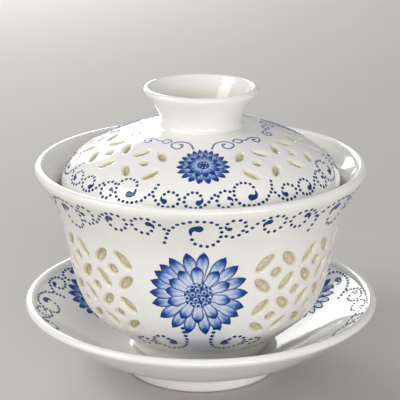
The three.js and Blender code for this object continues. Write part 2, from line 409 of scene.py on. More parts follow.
def open_windows(bm, windows, pitch):
    """Clear each window in a flat sheet of (azimuth, reach), and fit the edge of the hole to it."""
    verts = list(bm.verts)
    spots = np.array([vert.co[:2] for vert in verts])
    nearest = {}
    doomed = []
    for window in windows:
        close = np.abs(spots[:, 0] - window.azimuth) * window.radius < WINDOW_SEARCH
        close &= np.abs(spots[:, 1] - window.reach) < WINDOW_SEARCH
        places = np.flatnonzero(close)
        sizes = window.size_at(*window.local(spots[places, 0], spots[places, 1]))
        clear = 1 - CLEAR_MARGIN * pitch / window.half[1]
        loose = 1 + SMOOTH_MARGIN * pitch / window.half[1]
        for place, size in zip(places, sizes):
            vert = verts[place]
            if size < clear:
                doomed.append(vert)
            elif size < loose and size < nearest.get(vert, (loose, None))[0]:
                nearest[vert] = (size, window)
    bmesh.ops.delete(bm, geom=doomed, context="VERTS")
    rim = {}
    for start in nearest:
        if start.is_valid and start.is_boundary and start not in rim:
            rim.update(fitted(hole_round(start), nearest[start][1]))
    for vert, (window, along, across) in rim.items():
        vert.co.x, vert.co.y = window.at(along, across)
    soft = [vert for vert in nearest if vert.is_valid and vert not in rim]
    for _ in range(SMOOTHINGS):
        bmesh.ops.smooth_vert(bm, verts=soft, factor=0.5, use_axis_x=True, use_axis_y=True)
    return rim


def hole_round(start):
    """The verts round a hole, in order, from one of them."""
    loop = [start]
    before = None
    while True:
        ways = [edge.other_vert(loop[-1]) for edge in loop[-1].link_edges if edge.is_boundary]
        if len(ways) != 2:
            raise RuntimeError("two windows run into each other")
        ahead = ways[0] if ways[0] is not before else ways[1]
        if ahead is start:
            return loop
        before = loop[-1]
        loop.append(ahead)


def fitted(loop, window):
    """Spread a hole's verts along its window's outline, closest together at the grain's two ends."""
    turns = []
    for vert in loop:
        along, across = window.local(vert.co.x, vert.co.y)
        turns.append(math.atan2(across / window.half[1], along / window.half[0]))
    turns = np.unwrap(turns)
    steps = np.arange(len(loop)) * math.copysign(FULL_TURN / len(loop), turns[-1] - turns[0])
    turns = (1 - EVENNESS) * turns + EVENNESS * (steps + np.mean(turns - steps))
    power = 2 / GRAIN_POINTEDNESS
    along = window.half[0] * np.sign(np.cos(turns)) * np.abs(np.cos(turns)) ** power
    across = window.half[1] * np.sign(np.sin(turns)) * np.abs(np.sin(turns)) ** power
    return {vert: (window, a, b) for vert, a, b in zip(loop, along, across)}


def roll_rims(bm, rim, glaze_pool_and_shade, thickness):
    """Roll the edge of each window inwards and down to the middle of the wall."""
    edges = [edge for edge in bm.edges if edge.is_boundary and all(v in rim for v in edge.verts)]
    rings = [(inwards, down / thickness) for inwards, down in WINDOW_RIM] + [(THROAT_INSET, 0.5)]
    for step, (inwards, depth) in enumerate(rings):
        made = bmesh.ops.extrude_edge_only(bm, edges=edges)["geom"]
        edges = [g for g in made if isinstance(g, bmesh.types.BMEdge) and g.is_boundary]
        carried = {}
        for vert in (g for g in made if isinstance(g, bmesh.types.BMVert)):
            before = next(v for v in (e.other_vert(vert) for e in vert.link_edges) if v in rim)
            window, along, across = rim[before]
            vert.co.x, vert.co.y = window.inset(along, across, inwards)
            vert.co.z = depth
            vert[glaze_pool_and_shade] = (step + 1) / len(rings)
            carried[vert] = rim[before]
        rim = carried


def turned_wall(wall, columns, rows, windows=(), pitch=1.0, thickness=1.0):
    """A closed turned wall in one mesh, with its windows cut right through."""
    bm = bmesh.new()
    glaze_pool_and_shade = bm.verts.layers.float.new("glaze_pool_and_shade")
    last = len(rows) - 1
    for vert, along, across in corners_of_grid(bm, columns, last):
        vert.co = (SEAM + along * FULL_TURN, rows[round(across * last)], 0)
    if windows:
        roll_rims(bm, open_windows(bm, windows, pitch), glaze_pool_and_shade, thickness)
    made = bmesh.ops.duplicate(bm, geom=bm.verts[:] + bm.edges[:] + bm.faces[:])["geom"]
    for vert in (g for g in made if isinstance(g, bmesh.types.BMVert)):
        vert.co.z = 1 - vert.co.z
    lay_on(bm, wall, by_depth=True)
    bmesh.ops.remove_doubles(bm, verts=bm.verts, dist=0.01 * MM)
    bmesh.ops.holes_fill(bm, edges=[edge for edge in bm.edges if edge.is_boundary], sides=0)
    bmesh.ops.recalc_face_normals(bm, faces=bm.faces)
    return bm


def lay_on(bm, wall, by_depth=False, inside=False):
    """Carry a flat sheet of (azimuth, reach, depth or lift) onto a wall."""
    spots = np.zeros((len(bm.verts), 4))
    for spot, vert in zip(spots, bm.verts):
        spot[:2] = vert.co[:2]
        spot[2 if by_depth else 3] = vert.co.z
    if not by_depth:
        spots[:, 2] = 1 if inside else 0
    for vert, point in zip(bm.verts, wall.place(spots, inside)):
        vert.co = point


def turned_ring(profile, steps):
    """A closed ring, spun from a closed profile of (radius, height) in mm."""
    bm = bmesh.new()
    verts = [bm.verts.new((0, -radius * MM, height * MM)) for radius, height in profile]
    edges = [bm.edges.new(pair) for pair in zip(verts, verts[1:] + verts[:1])]
    bmesh.ops.spin(
        bm, geom=verts + edges, cent=(0, 0, 0), axis=(0, 0, 1), dvec=(0, 0, 0),
        angle=FULL_TURN, steps=steps, use_merge=True, use_duplicate=False,
    )
    bmesh.ops.remove_doubles(bm, verts=bm.verts, dist=0.001 * MM)
    bmesh.ops.recalc_face_normals(bm, faces=bm.faces)
    return bm


def half_round(start, end, bulge, steps=8):
    """Places on the arc from one (radius, height) to another, as high as bulge between them."""
    start = np.array(start, float)
    end = np.array(end, float)
    middle = (start + end) / 2
    arm = start - middle
    over = np.array([-arm[1], arm[0]]) * bulge
    turns = np.linspace(0, math.pi, steps + 1)
    return [tuple(middle + arm * math.cos(t) + over * math.sin(t)) for t in turns]


def finished(name, bm, body, materials, replaces=()):
    """Make the mesh an object that rides on its body."""
    mesh = bpy.data.meshes.new(name)
    bm.to_mesh(mesh)
    bm.free()
    mesh.polygons.foreach_set("use_smooth", [True] * len(mesh.polygons))
    piece = bpy.data.objects.new(name, mesh)
    bpy.context.scene.collection.objects.link(piece)
    for material in materials:
        mesh.materials.append(material)
    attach(piece, body)
    if replaces:
        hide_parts(*replaces)
    return piece


# ---- painting, laid flat in (azimuth, reach, lift) and then carried onto a wall ----

LINE, PETAL, THIN, FULL = range(4)     # a painting's materials, in the order that paints() gives


class Brush:
    """One flat sheet of painting for a wall."""

    def __init__(self, wall, thickness):
        self.wall = wall
        self.thickness = thickness
        self.bm = bmesh.new()
        self.uv = self.bm.loops.layers.uv.new("paint")

    def dot(self, spot, x, y, radius, lift=0.05, segments=10, material=LINE):
        """A round touch of the brush."""
        made = bmesh.ops.create_cone(
            self.bm, cap_ends=True, cap_tris=False, segments=segments,
            radius1=radius, radius2=radius * 0.9, depth=1,
        )["verts"]
        for vert in made:
            dx, dy, side = vert.co
            vert.co.x, vert.co.y = spot.at(x + dx / spot.scale, y + dy / spot.scale)
            vert.co.z = lift if side > 0 else lift - self.thickness
        for face in {face for vert in made for face in vert.link_faces}:
            face.material_index = material

    def stroke(self, spot, spine, widths, lift=0.05, across=4, material=LINE, root=0.0):
        """A filled stroke along a spine, with a half width at each of its points.

        Its UV map runs along it from root to 1, and over it from 0 to 1.
        """
        steps = len(spine) - 1
        sideways = right_of(spine)
        shares = {}
        for vert, along, over in corners_of_grid(self.bm, steps, across):
            step = round(along * steps)
            point = spine[step] + sideways[step] * widths[step] * (2 * over - 1)
            vert.co.x, vert.co.y = spot.at(*point)
            vert.co.z = lift
            shares[vert] = (root + (1 - root) * along, over)
        faces = list({face for vert in shares for face in vert.link_faces})
        for face in faces:
            face.material_index = material
            for loop in face.loops:
                loop[self.uv].uv = shares[loop.vert]
        made = bmesh.ops.extrude_face_region(self.bm, geom=faces, use_keep_orig=True)["geom"]
        for vert in (g for g in made if isinstance(g, bmesh.types.BMVert)):
            vert.co.z = lift - self.thickness

    def petal(self, spot, angle, inner, outer, half_width, lift, fullest=0.6, blunt=0.8, steps=8, root=0.0):
        """A petal that points away from the middle of its flower; root is where its wash begins."""
        shares = np.linspace(0, 1, steps + 1)
        reach = inner + (outer - inner) * shares
        turn = math.radians(angle)
        spine = np.stack([reach * math.cos(turn), reach * math.sin(turn)], axis=1)
        power = math.log(0.5) / math.log(fullest)
        widths = half_width * np.sin(math.pi * np.clip(shares ** power, 0, 1)) ** blunt
        # It ends in a point, and is never thin at its root, which the disc covers.
        widths[-1] = 0.02
        widths[:3] = np.maximum(widths[:3], half_width * np.array([0.5, 0.6, 0.75]))
        self.stroke(spot, spine, widths, lift, material=PETAL, root=root)

    def drop(self, spot, points, radius, lift=0.05):
        """A comma: a fine tail that swells to a round head at its last point."""
        curve = smooth_outline(points, 12)
        direction = curve[-1] - curve[-3]
        direction = direction / np.linalg.norm(direction)
        tip = curve[-1] + direction * radius
        spine = evenly(list(curve[::6]) + [tuple(curve[-1]), tuple(tip)], 15)
        length = lengths_along(spine)
        head = length[-1] - radius
        widths = []
        for place in length:
            if place > head:
                widths.append(radius * math.sqrt(max(0.0, 1 - ((place - head) / radius) ** 2)))
            else:
                widths.append(radius * (0.15 + 0.85 * (place / head) ** 1.1))
        self.stroke(spot, spine, np.array(widths), lift)

    def finish(self, name, body, materials, inside=False, replaces=()):
        """Carry the sheet onto its wall, and make it an object."""
        lay_on(self.bm, self.wall, inside=inside)
        bmesh.ops.remove_doubles(self.bm, verts=self.bm.verts, dist=0.002 * MM)
        bmesh.ops.recalc_face_normals(self.bm, faces=self.bm.faces)
        return finished(name, self.bm, body, materials, replaces)


# The running scroll of a border, one repeat: x to the right and y up, in mm on the bowl.

BORDER_REPEAT = 46.3
BOWL_BORDER = (0, 57, 118.5, 180, 242, 305.5)      # azimuths; the painter's repeats are uneven
BORDER_CURLS = [
    [(-8.9, 0.4), (-7.6, 1.7), (-6.5, 3), (-4.8, 3.8), (-3.2, 4.4), (-1.2, 4.7), (0.7, 4.6),
     (2.7, 4.3), (4.3, 3.2), (5.4, 1.4), (5.7, -0.7), (5.3, -2.9), (4.3, -4.4), (2.5, -5.4),
     (0.5, -5.4), (-1.7, -4.6), (-2.6, -2.9)],
    [(7.1, -1.8), (8.9, -2.3), (10.7, -1.7), (11.6, -0.2), (12.3, 1.5), (12, 3.1), (11.2, 4.4),
     (9.6, 4.8), (8, 4.5), (7, 3.4)],
    [(12.9, -0.6), (14.2, 0.8), (15.3, 2.3), (16.9, 3.6), (18.6, 4.5), (20.5, 4.8), (22.2, 4.5),
     (23.6, 3.6), (24.1, 2.2), (24, 0.6), (23, -0.8), (21.5, -1.7), (19.6, -1.7), (18.2, -0.4)],
    [(31.7, -0.4), (30.5, -1.6), (28.6, -1.5), (26.9, -0.5), (26, 1.1), (26.1, 2.7), (27.3, 4),
     (29, 4.6), (30.8, 4.7), (32.6, 4.4), (33.6, 3.4), (34.9, 2), (36, 0.2), (36.4, -1.4),
     (35.7, -2.8), (35.1, -4.5)],
]
BORDER_DROPS = [
    ([(-2.8, -1.3), (-2.9, 0.2), (-2.1, 1.3), (-0.6, 1.4)], 1.35),
    ([(6.5, 2.5), (6.8, 1.5), (7.8, 1.0)], 0.8),
    ([(17.7, 0.5), (17.7, 1.8), (18.9, 2.6)], 1.1),
    ([(32.6, 0.5), (32.4, 1.8), (31.3, 2.5)], 1.05),
]


def border(brush, reach, azimuths, scale, dot_radius, pitch, turned=False):
    """A running scroll of dots and drops, with one repeat at each azimuth all the way round a wall."""
    radius = brush.wall.radius(reach)
    angle = math.pi if turned else 0.0
    for degrees, following in zip(azimuths, [*azimuths[1:], azimuths[0] + 360]):
        room = math.radians(following - degrees) * radius
        spot = Spot(brush.wall, math.radians(degrees), reach, angle, scale, room / (BORDER_REPEAT * scale))
        for curl in BORDER_CURLS:
            for x, y in every(curl, pitch / scale):
                brush.dot(spot, x, y, dot_radius)
        for points, head in BORDER_DROPS:
            brush.drop(spot, points, head)


def around(first, count):
    """A number of evenly spaced azimuths in degrees."""
    return [first + 360 * step / count for step in range(count)]


# The petals of the bowl's flower: the direction of each in degrees, anticlockwise from the right.

PETALS_OUTER = (
    103, 84, 59, 40, 19, 0, -20, -33, -47, -62, -81, -105, -125, -145, -165, 180, 164, 150, 138, 123,
)
PETALS_INNER = (93, 55, 22, -14, -57, -92, -123, -162, 172, 150, 124)

# The lift of each layer of a flower in mm, so that the upper one hides the lower.

OUTER_LIFT = 0.05
INNER_LIFT = 0.08
DISC_LIFT = 0.10
SEED_LIFT = 0.12
EYE_LIFT = 0.14
NEXT_PETAL_LIFT = 0.01         # every other petal lies this much over its neighbours

BOWL_FLOWERS = (-1, 119, -121)         # azimuths in degrees
LID_FLOWERS = (1.2, 121.2, -118.8)
SAUCER_FLOWERS = (0, 120, -120)
LID_FLOWER_SIZE = 7.6                  # radii in mm
SAUCER_FLOWER_SIZE = 11.2

# Where the painting lies: mm up the bowl, mm up the lid, and the saucer's radius in mm.

BOWL_BORDER_UP = 56
BOWL_FLOWER_UP = 34.2
LID_BORDER_UP = 8.7
LID_FLOWER_UP = 20.4
SAUCER_BORDER_RADIUS = 48.9
SAUCER_FLOWER_RADIUS = 39.8


def petal_ring(brush, spot, angles, inner, outer, half_width, lift, **shape):
    """A ring of petals, each lying a little over or under the next."""
    for number, angle in enumerate(angles):
        brush.petal(spot, angle, inner, outer, half_width, lift + NEXT_PETAL_LIFT * (number % 2), **shape)


def large_flower(brush, spot):
    """The bowl's flower: two rings of pointed petals round a disc of ringed seeds."""
    petal_ring(brush, spot, PETALS_OUTER, 4.4, 14.3, 1.8, OUTER_LIFT)
    petal_ring(brush, spot, PETALS_INNER, 3.0, 9.6, 1.85, INNER_LIFT)
    brush.dot(spot, 0, 0, 4.5, DISC_LIFT, 32, material=FULL)
    seeds = [(0, 0)]
    for count, distance in ((5, 1.75), (10, 3.4)):
        for step in range(count):
            turn = FULL_TURN * step / count + distance
            seeds.append((distance * math.cos(turn), distance * math.sin(turn)))
    for x, y in seeds:
        brush.dot(spot, x, y, 0.84, SEED_LIFT, 12, material=THIN)
        brush.dot(spot, x + 0.08, y - 0.05, 0.5, EYE_LIFT, 8, material=FULL)


def small_flower(brush, spot, size):
    """The closer, darker flower of the lid and saucer, size mm in radius."""
    wide = 0.115 * size
    petal_ring(brush, spot, around(9, 20), 0.3 * size, size, wide, OUTER_LIFT, fullest=0.66, root=0.3)
    petal_ring(
        brush, spot, around(0, 13), 0.12 * size, 0.68 * size, wide, INNER_LIFT, fullest=0.64, root=0.42,
    )
    brush.dot(spot, 0, 0, 0.25 * size, DISC_LIFT, 24, material=FULL)
    for angle in around(10, 8):
        turn = math.radians(angle)
        x, y = 0.17 * size * math.cos(turn), 0.17 * size * math.sin(turn)
        brush.dot(spot, x, y, 0.05 * size, SEED_LIFT, 8)


# One side of the pair of curls under a bowl flower: mm to the right of its axis and up the bowl.

LOWER_MIDDLE = 14
LOWER_CURL = [
    (4.0, 22.5), (3.6, 20), (3.3, 18.5), (3.2, 16.8), (3.6, 14.6), (4.3, 12.5), (5.5, 11.2),
    (6.9, 10.3), (8.4, 10.3), (9.8, 10.5), (11.2, 11.5), (12.7, 13), (13.1, 15), (12.4, 17),
    (10.9, 18.2), (9.5, 18.2), (8.4, 17.2),
]
LOWER_DROP = ([(8.5, 16.9), (7.2, 16.4), (7.3, 14.9)], 1.25)
LOWER_SIDE_CURL = [
    (13.6, 12.2), (14.6, 14.2), (16, 15.6), (17.8, 15.2), (18.6, 13.6), (18, 11.8), (16.4, 11.2),
]

# One wing of the fine scroll round the foot of the lid's knob: degrees from its axis, and mm up the lid.

WING_MIDDLE = 30
LID_WING = [
    [(7, 28.2), (9, 30), (12, 31.2), (17, 31.7), (22, 31.4), (25, 30.3), (25.5, 29.2), (23, 28.2),
     (20, 27.7), (17, 28.2), (16, 29.2)],
    [(27.5, 31), (30, 32), (34, 32), (36, 31), (34.5, 30), (31, 30), (29.5, 30.5)],
    [(36, 31), (40, 30.6), (43, 31), (47, 31.2), (51, 30.9), (53.5, 29.8), (51, 28.6),
     (47.5, 28.4), (45.5, 29.3)],
]
LID_WING_DROPS = [[(15.8, 28.9), (16.2, 29.9), (18.2, 30.2)], [(45.6, 29.2), (46.4, 30.0), (48.4, 29.9)]]


# ---- materials ----

def add_node(tree, kind, sockets, **settings):
    """Add a node with its settings, and set or link each of the sockets that are named."""
    node = tree.nodes.new(kind)
    for name, value in settings.items():
        setattr(node, name, value)
    for socket, value in sockets.items():
        if isinstance(value, bpy.types.NodeSocket):
            tree.links.new(value, node.inputs[socket])
        else:
            node.inputs[socket].default_value = value
    return node


def per_metre(size_mm):
    """A noise scale that gives features of that size."""
    return 1000 / size_mm


GLAZE_IOR = 1.52
PAINT_IOR = 1.42               # cobalt shows through the glaze with a softer mirror than the white


def new_material(name):
    """A material with its nodes and its shader."""
    material = bpy.data.materials.new(name)
    material.use_nodes = True
    tree = material.node_tree
    shader = tree.nodes["Principled BSDF"]
    return material, tree, shader


def porcelain():
    """Hard-paste porcelain, fired white under a clear glossy glaze."""
    # The glaze lies a little unevenly: faint cloudy shade, a soft ripple in the reflections, and
    # an olive pool wherever it runs down the side of a window. A painted shade of cream and olive darkens
    # the knob's hollow towards its bottom.
    material, tree, shader = new_material("Glazed hard-paste porcelain")
    where = add_node(tree, "ShaderNodeTexCoord", {}).outputs["Object"]
    cloud = add_node(tree, "ShaderNodeTexNoise", {"Vector": where, "Scale": per_metre(14), "Detail": 3})
    shade = add_node(tree, "ShaderNodeMapRange", {
        "Value": cloud.outputs["Fac"], "From Min": 0.35, "From Max": 0.75,
    })
    white = add_node(tree, "ShaderNodeMix", {
        0: shade.outputs[0], 6: linear(PORCELAIN_WHITE), 7: linear(PORCELAIN_SHADE),
    }, data_type="RGBA")
    # This attribute carries two tints: glaze pooled down the sides of each window, and painted shade in the
    # knob's hollow, darker towards its bottom.
    glaze_pool_and_shade = add_node(tree, "ShaderNodeAttribute", {}, attribute_name="glaze_pool_and_shade")
    light_pool_and_shade = add_node(tree, "ShaderNodeMapRange", {
        "Value": glaze_pool_and_shade.outputs["Fac"], "From Min": 0.05, "From Max": 0.5,
    }, interpolation_type="SMOOTHSTEP")
    deep_pool_and_shade = add_node(tree, "ShaderNodeMapRange", {
        "Value": glaze_pool_and_shade.outputs["Fac"], "From Min": 0.45, "From Max": 1.0,
    }, interpolation_type="SMOOTHSTEP")
    cream = add_node(tree, "ShaderNodeMix", {
        0: light_pool_and_shade.outputs[0], 6: white.outputs[2], 7: linear(WINDOW_CREAM),
    }, data_type="RGBA")
    tinted = add_node(tree, "ShaderNodeMix", {
        0: deep_pool_and_shade.outputs[0], 6: cream.outputs[2], 7: linear(WINDOW_OLIVE),
    }, data_type="RGBA")
    tree.links.new(tinted.outputs[2], shader.inputs["Base Color"])
    gloss = add_node(tree, "ShaderNodeMapRange", {
        "Value": cloud.outputs["Fac"], "From Min": 0.3, "From Max": 0.7, "To Min": 0.07, "To Max": 0.14,
    })
    tree.links.new(gloss.outputs[0], shader.inputs["Roughness"])
    ripple = add_node(tree, "ShaderNodeTexNoise", {"Vector": where, "Scale": per_metre(7), "Detail": 2})
    bump = add_node(tree, "ShaderNodeBump", {
        "Height": ripple.outputs["Fac"], "Strength": 0.35, "Distance": 0.06 * MM,
    })
    tree.links.new(bump.outputs[0], shader.inputs["Normal"])
    shader.inputs["IOR"].default_value = GLAZE_IOR
    shader.inputs["Subsurface Weight"].default_value = 0.12
    shader.inputs["Subsurface Radius"].default_value = (1.0, 0.8, 0.6)
    shader.inputs["Subsurface Scale"].default_value = 1.2 * MM
    return material


def window_glaze():
    """Thick clear glaze that has melted across a window, with an olive tint."""
    # It looks wet and a little lumpy, and is darker round its edge against the sides: the glaze is thicker
    # there, and shade is painted into that crease.
    material, tree, shader = new_material("Pooled olive glaze")
    where = add_node(tree, "ShaderNodeTexCoord", {}).outputs["Object"]
    cloud = add_node(tree, "ShaderNodeTexNoise", {"Vector": where, "Scale": per_metre(2.5), "Detail": 4})
    rim = add_node(tree, "ShaderNodeAttribute", {}, attribute_name="rim")
    # Darker towards the skin's edge against the window's side: thicker glaze, and painted shade in that
    # crease.
    uneven = add_node(tree, "ShaderNodeMath", {
        0: rim.outputs["Fac"], 1: cloud.outputs["Fac"],
    }, operation="ADD")
    edge = add_node(tree, "ShaderNodeMapRange", {
        "Value": uneven.outputs[0], "From Min": 1.0, "From Max": 1.5,
    }, interpolation_type="SMOOTHSTEP")
    tint = add_node(tree, "ShaderNodeMix", {
        0: edge.outputs[0], 6: linear(WINDOW_OLIVE), 7: linear(WINDOW_THICK_AND_SHADED),
    }, data_type="RGBA")
    tree.links.new(tint.outputs[2], shader.inputs["Base Color"])
    # It sets in soft rings as it shrinks back from the sides, none of them quite even.
    bend = add_node(tree, "ShaderNodeMath", {0: cloud.outputs["Fac"], 1: 9.0}, operation="MULTIPLY")
    turn = add_node(tree, "ShaderNodeMath", {
        0: rim.outputs["Fac"], 1: 11.0, 2: bend.outputs[0],
    }, operation="MULTIPLY_ADD")
    ring = add_node(tree, "ShaderNodeMath", {0: turn.outputs[0]}, operation="SINE")
    bump = add_node(tree, "ShaderNodeBump", {
        "Height": ring.outputs[0], "Strength": 1.0, "Distance": 0.16 * MM,
    })
    tree.links.new(bump.outputs[0], shader.inputs["Normal"])
    gloss = add_node(tree, "ShaderNodeMapRange", {
        "Value": cloud.outputs["Fac"], "To Min": 0.03, "To Max": 0.12,
    })
    tree.links.new(gloss.outputs[0], shader.inputs["Roughness"])
    shader.inputs["IOR"].default_value = GLAZE_IOR
    shader.inputs["Subsurface Weight"].default_value = 0.3
    shader.inputs["Subsurface Radius"].default_value = (1.0, 0.9, 0.5)
    shader.inputs["Subsurface Scale"].default_value = 1.5 * MM
    return material


def cobalt(name, light, deep, grain_mm):
    """Cobalt blue under clear glaze, laid on by brush: uneven in strength, smooth to the touch."""
    material, tree, shader = new_material(name)
    where = add_node(tree, "ShaderNodeTexCoord", {}).outputs["Object"]
    cloud = add_node(tree, "ShaderNodeTexNoise", {
        "Vector": where, "Scale": per_metre(grain_mm), "Detail": 4,
    })
    load = add_node(tree, "ShaderNodeMapRange", {
        "Value": cloud.outputs["Fac"], "From Min": 0.35, "From Max": 0.65,
    }, interpolation_type="SMOOTHSTEP")
    tint = add_node(tree, "ShaderNodeMix", {
        0: load.outputs[0], 6: linear(light), 7: linear(deep),
    }, data_type="RGBA")
    tree.links.new(tint.outputs[2], shader.inputs["Base Color"])
    gloss = add_node(tree, "ShaderNodeMapRange", {
        "Value": cloud.outputs["Fac"], "To Min": 0.07, "To Max": 0.13,
    })
    tree.links.new(gloss.outputs[0], shader.inputs["Roughness"])
    shader.inputs["IOR"].default_value = PAINT_IOR
    return material


def petal_wash():
    """Cobalt washes in a petal, brushed on under the glaze: pale root, dark tip, fine outline."""
    material, tree, shader = new_material("Cobalt petal washes")
    uv = add_node(tree, "ShaderNodeUVMap", {}, uv_map="paint").outputs[0]
    shares = add_node(tree, "ShaderNodeSeparateXYZ", {0: uv})
    where = add_node(tree, "ShaderNodeTexCoord", {}).outputs["Object"]
    streak = add_node(tree, "ShaderNodeTexNoise", {"Vector": where, "Scale": per_metre(0.9), "Detail": 4})
    # A brush leaves streaks, so the washes start a little nearer or further along each petal.
    shift = add_node(tree, "ShaderNodeMath", {
        0: streak.outputs["Fac"], 1: 0.22, 2: -0.11,
    }, operation="MULTIPLY_ADD")
    along = add_node(tree, "ShaderNodeMath", {0: shares.outputs["X"], 1: shift.outputs[0]}, operation="ADD")
    wash = add_node(tree, "ShaderNodeMapRange", {
        "Value": along.outputs[0], "From Min": 0.4, "From Max": 0.85,
    }, interpolation_type="SMOOTHSTEP")
    tip = add_node(tree, "ShaderNodeMapRange", {
        "Value": along.outputs[0], "From Min": 0.64, "From Max": 0.86,
    }, interpolation_type="SMOOTHSTEP")
    offset = add_node(tree, "ShaderNodeMath", {0: shares.outputs["Y"], 1: 0.5}, operation="SUBTRACT")
    side = add_node(tree, "ShaderNodeMath", {0: offset.outputs[0]}, operation="ABSOLUTE")
    line = add_node(tree, "ShaderNodeMapRange", {
        "Value": side.outputs[0], "From Min": 0.32, "From Max": 0.45, "To Max": 0.85,
    }, interpolation_type="SMOOTHSTEP")
    # Its hairs draw faint streaks along the petal, about 9 of them side by side.
    broad = add_node(tree, "ShaderNodeCombineXYZ", {
        0: shares.outputs["X"], 1: shares.outputs["Y"], 2: side.outputs[0],
    })
    drawn = add_node(tree, "ShaderNodeMapping", {"Vector": broad.outputs[0], "Scale": (1.3, 9.0, 3.0)})
    hairs = add_node(tree, "ShaderNodeTexNoise", {
        "Vector": drawn.outputs[0], "W": streak.outputs["Fac"], "Scale": 1.0, "Detail": 3,
    }, noise_dimensions="4D")
    faint = add_node(tree, "ShaderNodeMapRange", {
        "Value": hairs.outputs["Fac"], "From Min": 0.45, "From Max": 0.75, "To Max": 0.75,
    })
    strength = add_node(tree, "ShaderNodeMath", {
        0: wash.outputs[0], 1: faint.outputs[0],
    }, operation="ADD", use_clamp=True)
    washed = add_node(tree, "ShaderNodeMix", {
        0: strength.outputs[0], 6: linear(PETAL_PALE), 7: linear(COBALT_WASH),
    }, data_type="RGBA")
    tipped = add_node(tree, "ShaderNodeMix", {
        0: tip.outputs[0], 6: washed.outputs[2], 7: linear(COBALT_TIP),
    }, data_type="RGBA")
    lined = add_node(tree, "ShaderNodeMix", {
        0: line.outputs[0], 6: tipped.outputs[2], 7: linear(PETAL_OUTLINE),
    }, data_type="RGBA")
    tree.links.new(lined.outputs[2], shader.inputs["Base Color"])
    gloss = add_node(tree, "ShaderNodeMapRange", {
        "Value": streak.outputs["Fac"], "To Min": 0.07, "To Max": 0.13,
    })
    tree.links.new(gloss.outputs[0], shader.inputs["Roughness"])
    shader.inputs["IOR"].default_value = PAINT_IOR
    return material


def biscuit():
    """Bare fired porcelain where the glaze is wiped off the foot: matt, sugary, a little sandy."""
    material, tree, shader = new_material("Unglazed biscuit porcelain")
    where = add_node(tree, "ShaderNodeTexCoord", {}).outputs["Object"]
    grit = add_node(tree, "ShaderNodeTexNoise", {"Vector": where, "Scale": per_metre(0.35), "Detail": 6})
    stain = add_node(tree, "ShaderNodeTexNoise", {"Vector": where, "Scale": per_metre(6), "Detail": 3})
    both = add_node(tree, "ShaderNodeMath", {
        0: grit.outputs["Fac"], 1: 0.5, 2: stain.outputs["Fac"],
    }, operation="MULTIPLY_ADD")
    share = add_node(tree, "ShaderNodeMapRange", {
        "Value": both.outputs[0], "From Min": 0.6, "From Max": 0.95,
    })
    tint = add_node(tree, "ShaderNodeMix", {
        0: share.outputs[0], 6: linear(BISCUIT), 7: linear(BISCUIT_SHADE),
    }, data_type="RGBA")
    tree.links.new(tint.outputs[2], shader.inputs["Base Color"])
    rough = add_node(tree, "ShaderNodeMapRange", {
        "Value": grit.outputs["Fac"], "To Min": 0.75, "To Max": 0.95,
    })
    tree.links.new(rough.outputs[0], shader.inputs["Roughness"])
    bump = add_node(tree, "ShaderNodeBump", {
        "Height": grit.outputs["Fac"], "Strength": 0.5, "Distance": 0.08 * MM,
    })
    tree.links.new(bump.outputs[0], shader.inputs["Normal"])
    return material


def pale_table(colour):
    """A matt painted table top, faintly mottled."""
    material, tree, shader = new_material("Matt painted board")
    where = add_node(tree, "ShaderNodeTexCoord", {}).outputs["Object"]
    cloud = add_node(tree, "ShaderNodeTexNoise", {"Vector": where, "Scale": per_metre(40), "Detail": 4})
    shade = add_node(tree, "ShaderNodeMapRange", {
        "Value": cloud.outputs["Fac"], "To Min": 0.94, "To Max": 1.0,
    })
    tint = add_node(tree, "ShaderNodeMix", {
        0: 1.0, 6: tuple(colour) + (1.0,), 7: shade.outputs[0],
    }, data_type="RGBA", blend_type="MULTIPLY")
    tree.links.new(tint.outputs[2], shader.inputs["Base Color"])
    rough = add_node(tree, "ShaderNodeMapRange", {
        "Value": cloud.outputs["Fac"], "To Min": 0.8, "To Max": 0.92,
    })
    tree.links.new(rough.outputs[0], shader.inputs["Roughness"])
    return material


def material_for(name, make, *values):
    """The material of that name, made the first time it is asked for."""
    return bpy.data.materials.get(name) or make(*values)


def white():
    """The glazed white body that most pieces are made of."""
    return material_for("Glazed hard-paste porcelain", porcelain)


def bare():
    """The bare body of the soles."""
    return material_for("Unglazed biscuit porcelain", biscuit)


def paints():
    """Lines, petal washes, a thin wash and a full one, in the order a brush numbers them."""
    lines = "Cobalt line, thick"
    thin = "Cobalt wash, thinned"
    blue = "Cobalt wash, full"
    return [
        material_for(lines, cobalt, lines, COBALT_LINE, COBALT_DEEP, 1.2),
        material_for("Cobalt petal washes", petal_wash),
        material_for(thin, cobalt, thin, THIN_WASH, THIN_WASH_DEEP, 0.8),
        material_for(blue, cobalt, blue, FULL_WASH, FULL_WASH_DEEP, 1.2),
    ]


# ---- the settings, the operators and their panel ----

class GaiwanSettings(bpy.types.PropertyGroup):
    """The sizes and colours that a user would change"""

    wall_columns: IntProperty(
        name="Wall columns", description="Faces round the bowl and the lid",
        default=384, min=180, max=420,
    )
    paint_thickness: FloatProperty(
        name="Paint thickness", description="Thickness of a painted stroke's mesh",
        default=0.1 * MM, min=0.05 * MM, max=0.3 * MM, unit="LENGTH", precision=5,
    )
    dot_radius: FloatProperty(
        name="Dot radius", description="Radius of a dot in the bowl's border",
        default=0.62 * MM, min=0.2 * MM, max=0.8 * MM, unit="LENGTH", precision=5,
    )
    table_colour: FloatVectorProperty(
        name="Table colour", description="Colour of the table top",
        default=linear(TABLE_PALE)[:3], subtype="COLOR", size=3, min=0, max=1,
    )
    light_power: FloatProperty(
        name="Light power", description="Power of a soft light whose strength is 1",
        default=5.0, min=0, unit="POWER",
    )


